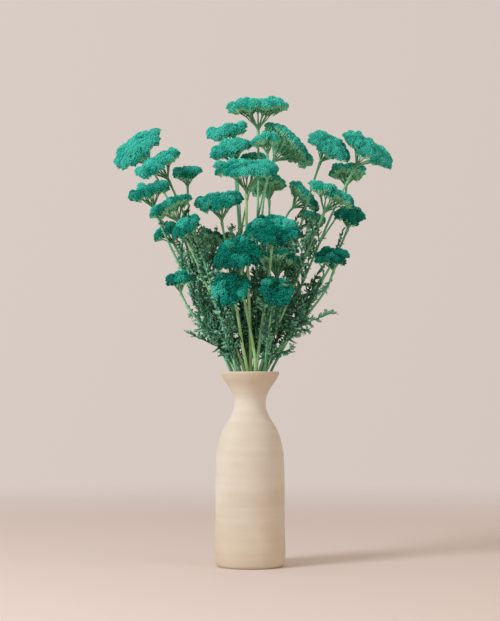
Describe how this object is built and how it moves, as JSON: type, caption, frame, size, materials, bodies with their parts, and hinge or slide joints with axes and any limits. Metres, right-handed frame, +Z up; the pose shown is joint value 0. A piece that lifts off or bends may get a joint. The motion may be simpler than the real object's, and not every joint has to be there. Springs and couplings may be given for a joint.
{
  "type": "dried fernleaf yarrow bunch in a bottle vase",
  "caption": "Bunch of dried fernleaf yarrow, flat-topped flower heads on leafy stems, standing in a stoneware bottle vase.",
  "frame": {"origin": "middle of the vase's flat underside", "axes": "+Z up along the vase's axis, -Y towards the front of the bunch, +X to the right seen from the front"},
  "size_m": [0.416, 0.2401, 0.6826],
  "materials": {
    "vase": "matt unglazed stoneware with faint turning lines",
    "stems": "dry ridged stems and curled leaves, dyed grey green",
    "heads": "matt dyed florets, velvety from a step away"
  },
  "bodies": {
    "root": {"vase": "vase", "stem_01": "stems", "head_01": "heads", "head_01_side": "heads", "stem_02": "stems", "head_02": "heads", "stem_03": "stems", "head_03": "heads", "head_03_side": "heads", "stem_04": "stems", "head_04": "heads", "stem_05": "stems", "head_05": "heads", "stem_06": "stems", "head_06": "heads", "head_06_side": "heads", "stem_07": "stems", "head_07": "heads", "stem_08": "stems", "head_08": "heads", "head_08_side": "heads", "stem_09": "stems", "head_09": "heads", "stem_10": "stems", "head_10": "heads", "stem_11": "stems", "head_11": "heads", "stem_12": "stems", "head_12": "heads", "stem_13": "stems", "head_13": "heads", "stem_14": "stems", "head_14": "heads", "stem_15": "stems", "head_15": "heads", "stem_16": "stems", "head_16": "heads", "stem_17": "stems", "head_17": "heads", "stem_18": "stems", "head_18": "heads", "stem_19": "stems", "head_19": "heads", "stem_20": "stems", "head_20": "heads", "stem_21": "stems", "head_21": "heads", "head_21_side": "heads", "stem_22": "stems", "head_22": "heads", "head_22_side": "heads", "stem_23": "stems", "head_23": "heads", "stem_24": "stems", "head_24": "heads", "head_24_side": "heads", "stem_25": "stems", "head_25": "heads"}
  },
  "joints": []
}
